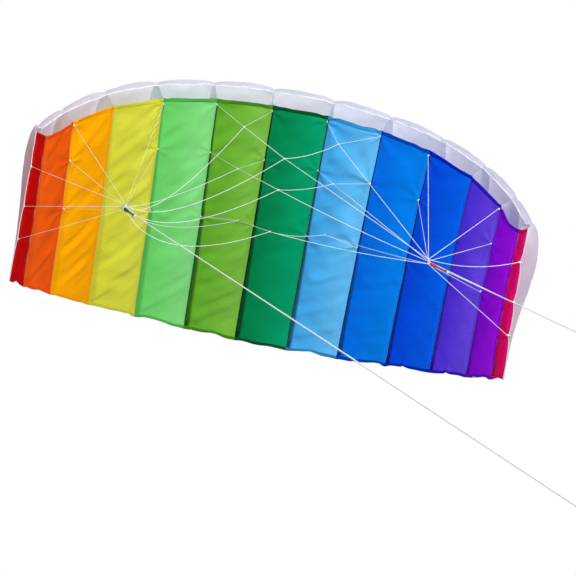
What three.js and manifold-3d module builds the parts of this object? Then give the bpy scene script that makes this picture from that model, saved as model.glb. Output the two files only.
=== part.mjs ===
// Dual-line ram-air parafoil kite: thirteen open-mouthed cells between fourteen ribs, a three-row bridle,
// two pigtails and the upper stretch of two taut flying lines.
// Millimetres and radians. +Z is up through the canopy, the cell mouths face -Y, +X is the right wing.
// The origin is the middle of the bottom skin, halfway along the chord.
import * as THREE from "three";
import { mergeVertices } from "three/addons/utils/BufferGeometryUtils.js";
import Module from "manifold-3d";

const wasm = await Module();
wasm.setup();

// Plan form. A station u runs from -1 at the left tip to 1 at the right tip.
const CELLS = 13;
const CELL_WIDTH = 112; // at the middle of the span
const TIP_TAPER = 0.94; // how much of its width the skin loses by the very tip
const CHORD = 562; // at the middle of the span
const CHORD_TAPER = [0.61, 0.29, -0.48]; // times u^2, u^4 and u^6
const NOSE_SWEEP = [-68, 312, -244]; // leading edge's place along Y, times u^2, u^4 and u^6
const ARC_TURN = [1.55, -0.2]; // lean of the skin, times u and u^3
const PITCH = [-0.01, -0.09]; // chord's nose-up angle, constant and times u^2

// Section, in fractions of the local chord.
const BELLY = 0.008;
const LIP = [-0.026, 0.055];
const NOSE_PULL = [-0.06, 0.1];
const CREST_PULL = [0.06, 0.14];
const CREST = [0.22, 0.14];
const BACK_PULL = [0.46, 0.14];
const TAIL_PULL = [0.75, 0.05];
const TIP_THIN = 0.4; // how much lower the section is at the very tip, growing as u^8
const TIP_BACK_PULL = [0.38, 0.14];
const TIP_TAIL_PULL = [0.6, 0.012];

// Cloth.
const CLOTH = 0.8; // thickness that stands for one layer of ripstop and its hems
const GAP = 0.3; // between pieces that are sewn or tied together
const SKIN_EDGE = CLOTH / 2 + GAP; // from a rib's middle plane to the skin beside it
const TAIL_GAP = 1.6; // between the two skins' middle surfaces at the trailing edge
const LOW_BILLOW = 0.055; // of the cell's width
const TOP_BILLOW = 0.08;
const LIP_FULLNESS = 0.45; // how much of the billow the hemmed upper lip lets through
const LIP_FADE = 0.25; // share of the upper skin over which it becomes full
const LOW_STEPS = 8;
const TOP_STEPS = 6; // on each half of the upper section

// Bridle.
const TAB = [CLOTH, 5, 5]; // along the span, the chord and the lift direction
const TAB_ROWS = { front: 0.02, middle: 0.212, rear: 0.484 }; // fractions of the chord
const TIP_TAB_ROWS = { front: 0.214, middle: 0.475, rear: 0.7 };
const DIRECT_RIBS = [0, 2, 4]; // counted from the tip
const CROSS_RIBS = [5, 6];
const LINE_RADIUS = 0.6;
const JOIN_RADIUS = 2;
const GATHER = 10; // from the tow point to the knot that gathers one row
const GATHER_RADIUS = 1.5;
const TOW = { left: [-268, -189, -373], right: [290, -199, -371] };
const CROSS_KNOT = {
  left: { front: [-97, -275, -116], middle: [-96, -186, -118], rear: [-83, -50, -73] },
  right: { front: [87, -277, -115], middle: [91, -192, -115], rear: [94, -55, -70] },
};
const CENTRE_KNOT = { front: [-7, -256, -180], middle: [-7, -206, -214], rear: [-8, -131, -244] };
const SLACK_WAY = new THREE.Vector3(0, 0.6, -0.8); // a slack line is blown aft and hangs
// How deep the lines hang from the cross knot to the tow point, from the centre knot to the tow point,
// from the tip to the tow point and between the two knots.
const SLACK = {
  left: { front: [52, 43, 0, 0], middle: [13, 46, 0, 0], rear: [27, 55, 0, 0] },
  right: { front: [0, 0, 12, 7], middle: [0, 4, 0, 5], rear: [3, 6, 0, 7] },
};
const SLACK_SKEW = { left: 0.4, right: 0 }; // how much nearer the tow point a line hangs deepest
const SLACK_STEPS = 8;

// Flying lines, from the tow point down.
const PULL = new THREE.Vector3(0.433, -0.317, -0.844).normalize();
const TOW_KNOT_RADIUS = 3.4;
const PIGTAIL_RADIUS = 1.8;
const PIGTAIL_LENGTH = 64;
const STOPPER_RADIUS = 3;
const LINE_KNOT_RADIUS = 3;
const FLYING_RADIUS = 0.9;
const FLYING_STEPS = 12;
const FLYING_END = { left: 1560, right: 545 }; // from the tow point to the end of the line
const LOOP = [8, 1]; // ring radius and cord radius of the loop at the end of a line
const LOOP_STRETCH = 2; // a pulled loop is longer than it is wide
const LOOP_STEPS = [6, 16]; // round the cord and round the ring
const CORD_SIDES = 8;

const PANEL_COLOURS = [
  0xbe000a, 0xeb5a19, 0xffa000, 0xd2d23c, 0x64d264, 0x69af2d, 0x009150,
  0x55afe6, 0x006ee1, 0x0050dc, 0x5032d2, 0x820ac8, 0xeb005a,
];
const WHITE_CLOTH = 0xe1e1eb;
const WHITE_LINE = 0xf2f2ee;
const PIGTAIL_COLOURS = { left: 0x1e2c78, right: 0xc81e28 };

const kite = new THREE.Group();

const polynomial = (factors, u) => factors.reduce((sum, f, i) => sum + f * u ** (2 * i + 2), 0);
const ribStation = (rib) => (2 * rib) / CELLS - 1;
const arcTurn = (u) => ARC_TURN[0] * u + ARC_TURN[1] * u ** 3;

// Place of the bottom skin's nose line across the span: the skin leans further the nearer the tip.
function arcPlace(u) {
  const steps = 60;
  const half = (CELLS * CELL_WIDTH) / 2;
  let x = 0;
  let z = 0;
  for (let i = 0; i < steps; i++) {
    const middle = (u * (i + 0.5)) / steps;
    const length = (half * (1 - TIP_TAPER * middle ** 4) * u) / steps;
    x += Math.cos(arcTurn(middle)) * length;
    z -= Math.sin(arcTurn(middle)) * length;
  }
  return { x, z };
}

// The frame of the section at a station: nose point, unit vectors aft, up from the chord and along the span.
function sectionFrame(u) {
  const { x, z } = arcPlace(u);
  const lean = arcTurn(u);
  const pitch = PITCH[0] + PITCH[1] * u ** 2;
  const span = new THREE.Vector3(Math.cos(lean), 0, -Math.sin(lean));
  const up = new THREE.Vector3(Math.sin(lean), 0, Math.cos(lean));
  const back = new THREE.Vector3(0, 1, 0);
  return {
    nose: new THREE.Vector3(x, polynomial(NOSE_SWEEP, u) - CHORD / 2, z),
    aft: back.clone().multiplyScalar(Math.cos(pitch)).addScaledVector(up, -Math.sin(pitch)),
    lift: up.clone().multiplyScalar(Math.cos(pitch)).addScaledVector(back, Math.sin(pitch)),
    span,
    chord: CHORD * (1 - polynomial(CHORD_TAPER, u)),
    nearTip: u ** 8,
  };
}

const inFrame = (frame, along, up, aside) =>
  frame.nose
    .clone()
    .addScaledVector(frame.aft, along)
    .addScaledVector(frame.lift, up)
    .addScaledVector(frame.span, aside);

const wayInFrame = (frame, way) => frame.aft.clone().multiplyScalar(way.x).addScaledVector(frame.lift, way.y);

// One skin's edge in a section: points in millimetres with the direction that faces out of the cell there.
// The bottom skin's edge runs forward from the tail, and the top skin's runs aft from the lip.
function lowEdge({ chord }) {
  const points = [];
  for (let i = 0; i <= LOW_STEPS; i++) {
    const a = 1 - i / LOW_STEPS;
    const at = new THREE.Vector2(a, -4 * BELLY * a * (1 - a)).multiplyScalar(chord);
    const out = new THREE.Vector2(-4 * BELLY * (1 - 2 * a), -1).normalize();
    points.push({ at, out, fullness: 4 * a * (1 - a) });
  }
  return points;
}

function topEdge({ chord, nearTip }) {
  const scaled = ([a, h]) => new THREE.Vector2(a * chord, h * (1 - TIP_THIN * nearTip) * chord);
  const toTip = (usual, tip) => scaled(usual.map((value, i) => value + (tip[i] - value) * nearTip));
  const front = new THREE.CubicBezierCurve(scaled(LIP), scaled(NOSE_PULL), scaled(CREST_PULL), scaled(CREST));
  const pulls = [toTip(BACK_PULL, TIP_BACK_PULL), toTip(TAIL_PULL, TIP_TAIL_PULL)];
  const rear = new THREE.CubicBezierCurve(scaled(CREST), ...pulls, new THREE.Vector2(chord, TAIL_GAP));
  const points = [];
  for (let i = 0; i <= 2 * TOP_STEPS; i++) {
    const curve = i <= TOP_STEPS ? front : rear;
    const t = i <= TOP_STEPS ? i / TOP_STEPS : i / TOP_STEPS - 1;
    const way = curve.getTangent(t);
    const share = i / (2 * TOP_STEPS);
    const opened = LIP_FULLNESS + (1 - LIP_FULLNESS) * Math.min(1, share / LIP_FADE);
    const fullness = Math.sqrt(1 - share) * opened;
    points.push({ at: curve.getPoint(t), out: new THREE.Vector2(-way.y, way.x), fullness });
  }
  return points;
}

// A closed sheet from columns of matching outer and inner points.
function sheetGeometry(columns) {
  const rows = columns[0].outer.length;
  const position = [];
  for (const column of columns) {
    for (const point of [...column.outer, ...column.inner]) position.push(point.x, point.y, point.z);
  }
  const at = (column, row, inner) => column * 2 * rows + (inner ? rows : 0) + row;
  const index = [];
  const quad = (a, b, c, d) => index.push(a, b, c, a, c, d);
  const last = columns.length - 1;
  for (let c = 0; c < last; c++) {
    for (let r = 0; r < rows - 1; r++) {
      quad(at(c, r, 0), at(c + 1, r, 0), at(c + 1, r + 1, 0), at(c, r + 1, 0));
      quad(at(c, r, 1), at(c, r + 1, 1), at(c + 1, r + 1, 1), at(c + 1, r, 1));
    }
    quad(at(c, 0, 1), at(c + 1, 0, 1), at(c + 1, 0, 0), at(c, 0, 0));
    quad(at(c, rows - 1, 0), at(c + 1, rows - 1, 0), at(c + 1, rows - 1, 1), at(c, rows - 1, 1));
  }
  for (let r = 0; r < rows - 1; r++) {
    quad(at(0, r, 0), at(0, r + 1, 0), at(0, r + 1, 1), at(0, r, 1));
    quad(at(last, r, 1), at(last, r + 1, 1), at(last, r + 1, 0), at(last, r, 0));
  }
  const geometry = new THREE.BufferGeometry();
  geometry.setAttribute("position", new THREE.Float32BufferAttribute(position, 3));
  geometry.setIndex(index);
  return geometry;
}

// One skin of one cell, billowed between its two ribs.
function skinGeometry(cell, edgeOf, billow) {
  const width = CELL_WIDTH * (1 - TIP_TAPER * ribStation(cell + 0.5) ** 4);
  const middle = sectionFrame(ribStation(cell + 0.5));
  const swells = edgeOf(middle).map((point) =>
    wayInFrame(middle, point.out).multiplyScalar(billow * width * point.fullness),
  );
  const besideRib = (across, thickness) => {
    const frame = sectionFrame(ribStation(cell + across));
    return edgeOf(frame).map((point) => {
      const shifted = point.at.clone().addScaledVector(point.out, thickness);
      return inFrame(frame, shifted.x, shifted.y, SKIN_EDGE * (1 - 2 * across));
    });
  };
  const surface = (thickness) => {
    const left = besideRib(0, thickness);
    const right = besideRib(1, thickness);
    const between = left.map((point, i) => point.clone().lerp(right[i], 0.5).add(swells[i]));
    return [left, between, right];
  };
  const outer = surface(CLOTH / 2);
  const inner = surface(-CLOTH / 2);
  return sheetGeometry(outer.map((points, column) => ({ outer: points, inner: inner[column] })));
}

function ribGeometry(frame) {
  const rim = (edge) => edge.map((point) => point.at.clone().addScaledVector(point.out, CLOTH / 2));
  const outline = [...rim(lowEdge(frame)), ...rim(topEdge(frame))];
  const plate = new THREE.ExtrudeGeometry(new THREE.Shape(outline), { depth: CLOTH, bevelEnabled: false });
  plate.translate(0, 0, -CLOTH / 2);
  const place = new THREE.Matrix4().makeBasis(frame.aft, frame.lift, frame.span);
  return plate.applyMatrix4(place.setPosition(frame.nose));
}

function cordGeometry(curve, radius, steps) {
  const circle = new THREE.Shape();
  for (let i = 0; i < CORD_SIDES; i++) {
    const turn = (2 * Math.PI * i) / CORD_SIDES;
    const x = radius * Math.cos(turn);
    const y = radius * Math.sin(turn);
    if (i === 0) circle.moveTo(x, y);
    else circle.lineTo(x, y);
  }
  return new THREE.ExtrudeGeometry(circle, { steps, extrudePath: curve, bevelEnabled: false });
}

// A line between two points, straight or with a sag of the given depth.
function strandGeometry(from, to, sag = 0, skew = 0) {
  if (!sag) return cordGeometry(new THREE.LineCurve3(from, to), LINE_RADIUS, 1);
  const pulled = from.clone().lerp(to, (1 + skew) / 2).addScaledVector(SLACK_WAY, 2 * sag);
  return cordGeometry(new THREE.QuadraticBezierCurve3(from, pulled, to), LINE_RADIUS, SLACK_STEPS);
}

const knotGeometry = (place, radius, detail = 1) =>
  new THREE.OctahedronGeometry(radius, detail).translate(place.x, place.y, place.z);

function toSolid(geometry) {
  const bare = new THREE.BufferGeometry();
  bare.setAttribute("position", geometry.getAttribute("position").clone());
  if (geometry.index) bare.setIndex(geometry.index.clone());
  const merged = mergeVertices(bare, 1e-4);
  return new wasm.Manifold(
    new wasm.Mesh({
      numProp: 3,
      vertProperties: new Float32Array(merged.attributes.position.array),
      triVerts: new Uint32Array(merged.index.array),
    }),
  );
}

// Pieces that are tied or sewn into one.
function joined(geometries) {
  const solid = geometries.map(toSolid).reduce((whole, piece) => whole.add(piece));
  const mesh = solid.getMesh();
  const geometry = new THREE.BufferGeometry();
  geometry.setAttribute("position", new THREE.BufferAttribute(mesh.vertProperties, mesh.numProp));
  geometry.setIndex(new THREE.BufferAttribute(mesh.triVerts, 1));
  return geometry;
}

function addNode(name, geometry, color, roughness = 0.75) {
  geometry.computeVertexNormals();
  const mesh = new THREE.Mesh(geometry, new THREE.MeshStandardMaterial({ color, roughness, metalness: 0 }));
  mesh.name = name;
  kite.add(mesh);
}

const twoDigits = (n) => String(n).padStart(2, "0");
const vector = (place) => new THREE.Vector3(...place);

// A bridle tab under a rib: its solid, and the end that the line is tied to.
function bridleTab(side, ribFromTip, row) {
  const rib = side === "left" ? ribFromTip : CELLS - ribFromTip;
  const frame = sectionFrame(ribStation(rib));
  const along = (ribFromTip === 0 ? TIP_TAB_ROWS : TAB_ROWS)[row];
  const belly = -4 * BELLY * along * (1 - along) * frame.chord;
  const top = belly - CLOTH / 2 - 2 * GAP;
  const box = new THREE.BoxGeometry(...TAB);
  const turned = new THREE.Matrix4().makeBasis(frame.span, frame.aft, frame.lift);
  box.applyMatrix4(turned.setPosition(inFrame(frame, along * frame.chord, top - TAB[2] / 2, 0)));
  return { box, end: inFrame(frame, along * frame.chord, top - TAB[2] + LINE_RADIUS, 0) };
}

// One row of one side's bridle. The left side ties the centre knot, the right side's two lines stop at it.
function bridleGeometry(side, row) {
  const tow = vector(TOW[side]);
  const direct = DIRECT_RIBS.map((rib) => bridleTab(side, rib, row));
  const crossed = CROSS_RIBS.map((rib) => bridleTab(side, rib, row));
  const cross = vector(CROSS_KNOT[side][row]);
  const centre = vector(CENTRE_KNOT[row]);
  const ends = [...direct.map((tab) => tab.end), cross, centre];
  const mean = ends.reduce((sum, end) => sum.add(end), new THREE.Vector3()).divideScalar(ends.length);
  const up = mean.sub(tow).normalize();
  const gather = tow.clone().addScaledVector(up, GATHER);
  const [crossSag, centreSag, tipSag, spanSag] = SLACK[side][row];
  const skew = SLACK_SKEW[side];
  const short = (from) => {
    const reach = side === "left" ? 0 : JOIN_RADIUS + GAP;
    return centre.clone().addScaledVector(from.clone().sub(centre).normalize(), reach);
  };
  const pieces = [
    ...[...direct, ...crossed].map((tab) => tab.box),
    ...direct.map((tab, i) => strandGeometry(tab.end, gather, i === 0 ? tipSag : 0)),
    ...crossed.map((tab) => strandGeometry(tab.end, cross)),
    strandGeometry(cross, gather, crossSag, skew),
    strandGeometry(cross, short(cross), spanSag),
    strandGeometry(short(gather), gather, centreSag, skew),
    knotGeometry(cross, JOIN_RADIUS, 0),
    knotGeometry(gather, GATHER_RADIUS, 0),
    strandGeometry(gather, tow.clone().addScaledVector(up, TOW_KNOT_RADIUS + GAP)),
  ];
  if (side === "left") pieces.push(knotGeometry(centre, JOIN_RADIUS, 0));
  return joined(pieces);
}

const downLine = (side, distance) => vector(TOW[side]).addScaledVector(PULL, distance);

function pigtailGeometry(side) {
  const path = new THREE.LineCurve3(downLine(side, TOW_KNOT_RADIUS + GAP), downLine(side, PIGTAIL_LENGTH));
  const stopper = knotGeometry(downLine(side, PIGTAIL_LENGTH), STOPPER_RADIUS);
  return joined([cordGeometry(path, PIGTAIL_RADIUS, 2), stopper]);
}

const LINE_KNOT_AT = PIGTAIL_LENGTH + STOPPER_RADIUS + GAP + LINE_KNOT_RADIUS;

function flyingLineGeometry(side) {
  const top = downLine(side, LINE_KNOT_AT + LINE_KNOT_RADIUS + GAP);
  const path = new THREE.LineCurve3(top, downLine(side, FLYING_END[side]));
  return cordGeometry(path, FLYING_RADIUS, FLYING_STEPS);
}

function endLoopGeometry(side) {
  const knotAt = FLYING_END[side] + GAP + LINE_KNOT_RADIUS;
  const [ring, cord] = LOOP;
  const loop = new THREE.TorusGeometry(ring, cord, ...LOOP_STEPS).scale(1, LOOP_STRETCH, 1);
  const across = new THREE.Vector3(1, 0, 0).projectOnPlane(PULL).normalize();
  const facing = new THREE.Vector3().crossVectors(across, PULL);
  const place = new THREE.Matrix4().makeBasis(across, PULL, facing);
  loop.applyMatrix4(place.setPosition(downLine(side, knotAt + ring * LOOP_STRETCH)));
  return joined([knotGeometry(downLine(side, knotAt), LINE_KNOT_RADIUS), loop]);
}

for (let cell = 0; cell < CELLS; cell++) {
  const number = twoDigits(cell + 1);
  addNode("bottom_panel_" + number, skinGeometry(cell, lowEdge, LOW_BILLOW), PANEL_COLOURS[cell]);
  addNode("top_panel_" + number, skinGeometry(cell, topEdge, TOP_BILLOW), WHITE_CLOTH);
}

for (let rib = 0; rib <= CELLS; rib++) {
  const inner = rib > 0 && rib < CELLS;
  const name = inner ? "rib_" + twoDigits(rib) : rib === 0 ? "end_rib_left" : "end_rib_right";
  addNode(name, ribGeometry(sectionFrame(ribStation(rib))), WHITE_CLOTH);
}

for (const side of ["left", "right"]) {
  for (const row of ["front", "middle", "rear"]) {
    addNode("bridle_" + side + "_" + row, bridleGeometry(side, row), WHITE_LINE);
  }
  addNode("tow_knot_" + side, knotGeometry(vector(TOW[side]), TOW_KNOT_RADIUS), WHITE_LINE);
  addNode("pigtail_" + side, pigtailGeometry(side), PIGTAIL_COLOURS[side], 0.85);
  addNode("line_knot_" + side, knotGeometry(downLine(side, LINE_KNOT_AT), LINE_KNOT_RADIUS), WHITE_LINE);
  addNode("flying_line_" + side, flyingLineGeometry(side), WHITE_LINE);
  addNode("end_loop_" + side, endLoopGeometry(side), WHITE_LINE);
}

export default kite;
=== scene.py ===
"""Looks of a dual-line ram-air parafoil kite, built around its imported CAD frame. Metres, +Z up through the
canopy, the cell mouths face -Y, +X is the right wing. The shape's formulas repeat those of the CAD part."""

import math

import bpy
import numpy as np
from mathutils import Matrix, Vector


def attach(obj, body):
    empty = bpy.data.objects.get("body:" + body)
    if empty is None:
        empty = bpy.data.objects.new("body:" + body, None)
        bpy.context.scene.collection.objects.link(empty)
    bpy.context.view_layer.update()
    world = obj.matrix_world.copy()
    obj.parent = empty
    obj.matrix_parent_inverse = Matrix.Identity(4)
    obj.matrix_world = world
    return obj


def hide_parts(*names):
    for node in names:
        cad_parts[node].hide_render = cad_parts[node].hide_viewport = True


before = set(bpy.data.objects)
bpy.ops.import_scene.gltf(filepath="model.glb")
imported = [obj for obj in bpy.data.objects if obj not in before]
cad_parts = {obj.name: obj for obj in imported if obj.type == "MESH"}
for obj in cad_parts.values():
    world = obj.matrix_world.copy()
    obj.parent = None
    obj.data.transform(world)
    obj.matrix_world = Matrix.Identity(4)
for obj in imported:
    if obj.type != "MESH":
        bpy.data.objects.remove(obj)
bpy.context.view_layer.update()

# ---- the CAD part's dimensions, in metres
CELLS = 13
CELL_WIDTH = 0.112
TIP_TAPER = 0.94
CHORD = 0.562
CHORD_TAPER = (0.61, 0.29, -0.48)
NOSE_SWEEP = (-0.068, 0.312, -0.244)
ARC_TURN = (1.55, -0.2)
PITCH = (-0.01, -0.09)
BELLY = 0.008
LIP = (-0.026, 0.055)
NOSE_PULL = (-0.06, 0.1)
CREST_PULL = (0.06, 0.14)
CREST = (0.22, 0.14)
BACK_PULL = (0.46, 0.14)
TAIL_PULL = (0.75, 0.05)
TIP_THIN = 0.4
TIP_BACK_PULL = (0.38, 0.14)
TIP_TAIL_PULL = (0.6, 0.012)
TAIL_GAP = 0.0016
CLOTH = 0.0008
GAP = 0.0003
LOW_BILLOW = 0.055
TOP_BILLOW = 0.08
LIP_FULLNESS = 0.45
LIP_FADE = 0.25
TAB = (0.0008, 0.005, 0.005)
TAB_ROWS = {"front": 0.02, "middle": 0.212, "rear": 0.484}
TIP_TAB_ROWS = {"front": 0.214, "middle": 0.475, "rear": 0.7}
DIRECT_RIBS = (0, 2, 4)
CROSS_RIBS = (5, 6)
LINE_RADIUS = 0.0006
JOIN_RADIUS = 0.002
GATHER = 0.01
GATHER_RADIUS = 0.0015
TOW = {"left": (-0.268, -0.189, -0.373), "right": (0.29, -0.199, -0.371)}
CROSS_KNOT = {
    "left": {
        "front": (-0.097, -0.275, -0.116),
        "middle": (-0.096, -0.186, -0.118),
        "rear": (-0.083, -0.05, -0.073),
    },
    "right": {
        "front": (0.087, -0.277, -0.115),
        "middle": (0.091, -0.192, -0.115),
        "rear": (0.094, -0.055, -0.07),
    },
}
CENTRE_KNOT = {
    "front": (-0.007, -0.256, -0.18),
    "middle": (-0.007, -0.206, -0.214),
    "rear": (-0.008, -0.131, -0.244),
}
SLACK_WAY = np.array((0, 0.6, -0.8))
# How deep the lines hang from the cross knot to the tow point, from the centre knot to the tow point,
# from the tip to the tow point and between the two knots.
SLACK = {
    "left": {
        "front": (0.052, 0.043, 0, 0),
        "middle": (0.013, 0.046, 0, 0),
        "rear": (0.027, 0.055, 0, 0),
    },
    "right": {
        "front": (0, 0, 0.012, 0.007),
        "middle": (0, 0.004, 0, 0.005),
        "rear": (0.003, 0.006, 0, 0.007),
    },
}
SLACK_SKEW = {"left": 0.4, "right": 0.0}
PULL = np.array((0.433, -0.317, -0.844))
PULL = PULL / np.linalg.norm(PULL)
TOW_KNOT_RADIUS = 0.0034
PIGTAIL_RADIUS = 0.0018
PIGTAIL_LENGTH = 0.064
STOPPER_RADIUS = 0.003
LINE_KNOT_RADIUS = 0.003
LINE_KNOT_AT = PIGTAIL_LENGTH + STOPPER_RADIUS + GAP + LINE_KNOT_RADIUS
FLYING_RADIUS = 0.0009
FLYING_END = {"left": 1.56, "right": 0.545}
LOOP_RING = 0.008
LOOP_CORD = 0.001
LOOP_STRETCH = 2

# ---- how the visual departs from the CAD part
# Shares of the CAD radius that the bridle lines have: from a rib to the tow point, from a rib to a cross
# knot, and the slack ones.
LINE_DRAWN = {"left": 0.4, "right": 0.9}
CROSSED_DRAWN = 0.65
SLACK_DRAWN = 0.9
TAB_DRAWN = 0.7  # a loaded tab folds up smaller than its plain plate
TIP_LIP_SINK = 0.6  # the slack lip at a tip lies that much lower than the CAD section's
TIP_LIP_REACH = 0.22  # share of the top skin's edge over which the lip recovers
LEFT_TIP_FOLD = 0.7  # radians by which the left tip's end rib is turned in over the cell

# ---- camera, its angles in degrees
CAMERA_AZIMUTH = 2.75
CAMERA_ELEVATION = -59.7
CAMERA_ROLL = 13.6
CAMERA_DISTANCE = 3.176
CAMERA_AIM = Vector((0.0384, 0.1247, 0))
CAMERA_LENS = 93.75
SENSOR = 36
CLIP_END = 200


def add_camera():
    azimuth, elevation, roll = (math.radians(v) for v in (CAMERA_AZIMUTH, CAMERA_ELEVATION, CAMERA_ROLL))
    back = Vector((
        math.sin(azimuth) * math.cos(elevation),
        -math.cos(azimuth) * math.cos(elevation),
        math.sin(elevation),
    ))
    side = Vector((math.cos(azimuth), math.sin(azimuth), 0))
    up = back.cross(side)
    right = side * math.cos(roll) + up * math.sin(roll)
    up = back.cross(right)
    data = bpy.data.cameras.new("camera")
    data.lens = CAMERA_LENS
    data.sensor_width = SENSOR
    data.sensor_fit = "HORIZONTAL"
    data.clip_end = CLIP_END
    camera = bpy.data.objects.new("camera", data)
    turn = Matrix((right, up, back)).transposed().to_4x4()
    camera.matrix_world = Matrix.Translation(CAMERA_AIM + back * CAMERA_DISTANCE) @ turn
    bpy.context.scene.collection.objects.link(camera)
    bpy.context.scene.camera = camera


add_camera()

# ---- shape of the canopy


def unit(v):
    """Vectors of length one along those given."""
    return v / np.linalg.norm(v, axis=-1, keepdims=True)


def polynomial(factors, u):
    """Sum of the factors times u^2, u^4 and so on."""
    return sum(f * u ** (2 * i + 2) for i, f in enumerate(factors))


def rib_station(rib):
    """A rib's station along the span, from -1 at the left tip to 1 at the right one."""
    return 2 * rib / CELLS - 1


ARC_STEPS = 60


def arc_turn(u):
    """How far the skin leans at a station."""
    return ARC_TURN[0] * u + ARC_TURN[1] * u**3


def arc_place(u):
    """X and Z of the bottom skin's nose line, as the skin leans further the nearer the tip."""
    middle = u[..., None] * (np.arange(ARC_STEPS) + 0.5) / ARC_STEPS
    turn = arc_turn(middle)
    length = CELLS * CELL_WIDTH / 2 * (1 - TIP_TAPER * middle**4) * u[..., None] / ARC_STEPS
    return (np.cos(turn) * length).sum(-1), (-np.sin(turn) * length).sum(-1)


class Section:
    """The frames of the sections at the stations u, an array of any shape."""

    def __init__(self, u):
        u = np.asarray(u, float)
        x, z = arc_place(u)
        lean = arc_turn(u)
        pitch = (PITCH[0] + PITCH[1] * u**2)[..., None]
        none = np.zeros_like(u)
        self.span = np.stack((np.cos(lean), none, -np.sin(lean)), -1)
        up = np.stack((np.sin(lean), none, np.cos(lean)), -1)
        back = np.stack((none, none + 1, none), -1)
        folded = (LEFT_TIP_FOLD * np.where(u < 0, u**10, 0))[..., None]
        self.nose = np.stack((x, polynomial(NOSE_SWEEP, u) - CHORD / 2, z), -1)
        self.aft = back * np.cos(pitch) - up * np.sin(pitch)
        self.lift = up * np.cos(pitch) + back * np.sin(pitch)
        self.lift = self.lift * np.cos(folded) + self.span * np.sin(folded)
        self.chord = CHORD * (1 - polynomial(CHORD_TAPER, u))
        self.near_tip = u**8

    def place(self, along, up, aside=0.0):
        """Points at distances along the chord, up from it and aside of the section."""
        along, up, aside = (np.asarray(v, float)[..., None] for v in (along, up, aside))
        return self.nose + self.aft * along + self.lift * up + self.span * aside


def bezier(t, a, b, c, d):
    """Points of a cubic curve and the unit directions along it. Its four points may be arrays."""
    t = t[..., None]
    point = a * (1 - t) ** 3 + 3 * b * t * (1 - t) ** 2 + 3 * c * t**2 * (1 - t) + d * t**3
    way = 3 * ((b - a) * (1 - t) ** 2 + 2 * (c - b) * t * (1 - t) + (d - c) * t**2)
    return point, unit(way)


def low_edge(section, a):
    """Bottom skin's edge in the section at the fraction a of the chord, and the way out of the cell."""
    chord = section.chord
    at = np.stack((a * chord, -4 * BELLY * a * (1 - a) * chord), -1)
    out = unit(np.stack((-4 * BELLY * (1 - 2 * a), -np.ones_like(a * chord)), -1))
    return at, out


def top_edge(section, t):
    """Top skin's edge from the lip, t = 0, over the crest, t = 0.5, to the tail, t = 1."""
    chord, near_tip, t = np.broadcast_arrays(section.chord, section.near_tip, np.asarray(t, float))
    scaled = lambda p: np.stack((p[0] * chord, p[1] * (1 - TIP_THIN * near_tip) * chord), -1)
    to_tip = lambda usual, tip: scaled([v + (w - v) * near_tip for v, w in zip(usual, tip)])
    tail = np.stack((chord, np.full_like(chord, TAIL_GAP)), -1)
    front = bezier(np.clip(2 * t, 0, 1), scaled(LIP), scaled(NOSE_PULL), scaled(CREST_PULL), scaled(CREST))
    pulls = to_tip(BACK_PULL, TIP_BACK_PULL), to_tip(TAIL_PULL, TIP_TAIL_PULL)
    rear = bezier(np.clip(2 * t - 1, 0, 1), scaled(CREST), *pulls, tail)
    first = (t <= 0.5)[..., None]
    way = np.where(first, front[1], rear[1])
    point = np.where(first, front[0], rear[0])
    sunk = 1 - TIP_LIP_SINK * near_tip * np.exp(-((t / TIP_LIP_REACH) ** 2))
    return point * np.stack((np.ones_like(sunk), sunk), -1), np.stack((-way[..., 1], way[..., 0]), -1)


def cell_width(cell):
    """Width of a cell's cloth from rib to rib."""
    return CELL_WIDTH * (1 - TIP_TAPER * rib_station(cell + 0.5) ** 4)


# ---- relief of the cloth
SEAM_DEPTH = 0.0022  # the seams draw a bottom panel into the cell at a rib
TOP_SEAM_DEPTH = 0.0018
SEAM_REACH = 0.0042
RIB_HOLD = 0.010  # distance from a rib over which the cloth comes free of it
PUCKER_HEIGHT = 0.0009
TOP_PUCKER_HEIGHT = 0.0011
PUCKER_PITCH = 0.0115
PUCKER_START = 0.0045
PUCKER_REACH = 0.017
PUCKER_LEAN = 0.9
PUCKER_WANDER = 2.4  # radians by which the puckers' places stray
LEFT_PUCKER_SHARE = 0.55  # the stitching pulls a panel less at its left rib
FOLD_HEIGHT = 0.0024
TOP_FOLD_HEIGHT = 0.0014
# Slant in degrees, width and length of the folds.
LOW_FOLDS = ((32, 0.017, 0.075), (-24, 0.026, 0.09))
TOP_FOLDS = (-30, 0.02, 0.08)
TAB_DIMPLE = 0.0022
TAB_DIMPLE_REACH = 0.014
TAB_FOLD_HEIGHT = 0.0015
TAB_FOLD_START = 0.006
TAB_FOLD_REACH = 0.042
TAB_FOLD_COUNT = 6.5  # on the whole circle round a tab
TAIL_REACH = 0.014  # distance from the tail seam over which its gathers fade
GATHER_WIDTH = 0.019
TAIL_GATHER = 0.0026
TOP_TAIL_GATHER = 0.0014
RUFFLE_WIDTH = 0.03
RUFFLE_SIZE = 0.0035
RIB_TAIL = 0.0022  # a rib's tail stands that far aft
KINK_REACH = 0.0045
NOSE_WAVE = 0.0012
NOSE_WAVE_REACH = 0.01
NOSE_WAVE_WIDTH = 0.02
NOSE_SLACK_REACH = 0.05
# Height and width of the lip's coarse and fine wrinkles, and the share of the top skin they cover.
LIP_WRINKLES = ((0.0028, 0.013), (0.0016, 0.0075))
LIP_WRINKLE_REACH = 0.07
# How strongly the stitching puckers each bottom panel, from the left tip to the right.
PUCKERS = (0.6, 0.6, 1.5, 1.9, 0.8, 2.0, 1.0, 1.9, 1.0, 0.9, 0.8, 0.8, 0.8)
# How deep the slanting folds of each bottom panel are, from the left tip to the right.
FOLD_DEPTHS = (0.5, 1.0, 1.0, 1.15, 0.75, 1.3, 0.7, 1.8, 0.9, 0.7, 0.6, 0.5, 0.4)
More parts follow.
